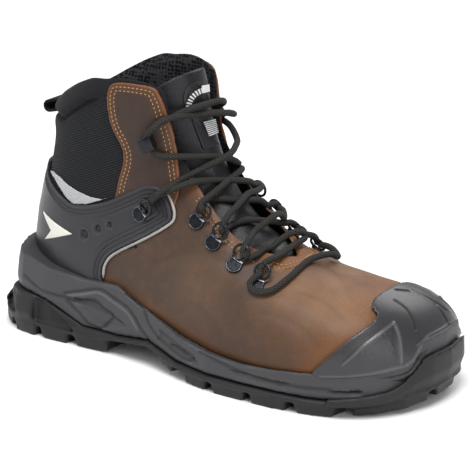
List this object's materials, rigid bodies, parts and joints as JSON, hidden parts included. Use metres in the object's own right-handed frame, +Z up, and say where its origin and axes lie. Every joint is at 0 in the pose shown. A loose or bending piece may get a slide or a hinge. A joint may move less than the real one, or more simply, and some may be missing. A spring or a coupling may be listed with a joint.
{
  "type": "safety boot",
  "caption": "Laced ankle safety boot for the right foot, with a lugged sole, moulded toe cap, heel shell, padded collar and tongue, stands empty on its sole.",
  "frame": {"origin": "on the floor, on the heel's middle lug, under the ankle", "axes": "+X towards the toe, +Y towards the inner side of the foot, +Z up"},
  "size_m": [0.3042, 0.1142, 0.1756],
  "materials": {
    "outsole": "matte dark grey rubber, lugged",
    "midsole": "satin mid grey foam with fine moulding texture",
    "leather": "oiled brown leather, soft sheen, tan cut edges",
    "cap": "satin dark grey moulded rubber",
    "shell": "satin charcoal moulded plastic",
    "piping": "satin silver grey",
    "arrow": "satin cream",
    "fabric": "black padded textile",
    "badge": "matte black rubber with pale grey bars",
    "webbing": "black woven webbing",
    "metal": "black enamel with worn bright edges",
    "lace": "dark olive braided cord"
  },
  "bodies": {
    "root": {"outsole": "outsole", "midsole": "midsole", "upper": "leather", "toe_cap": "cap", "heel_shell": "shell", "tongue": "fabric", "tongue_badge": "badge", "insole": "fabric", "pull_loop": "webbing", "piping_outer": "piping", "quarter_tab_outer": "leather", "arrow_outer": "arrow", "ring_1_outer": "metal", "ring_2_outer": "metal", "ring_3_outer": "metal", "ring_4_outer": "metal", "ankle_ring_outer": "metal", "top_hook_outer": "metal", "piping_inner": "piping", "quarter_tab_inner": "leather", "arrow_inner": "arrow", "ring_1_inner": "metal", "ring_2_inner": "metal", "ring_3_inner": "metal", "ring_4_inner": "metal", "ankle_ring_inner": "metal", "top_hook_inner": "metal", "lace_bar": "lace", "lace_tie": "lace", "lace_crossing_1": "lace", "lace_crossing_2": "lace", "lace_crossing_3": "lace", "lace_crossing_4": "lace", "lace_crossing_5": "lace"}
  },
  "joints": []
}
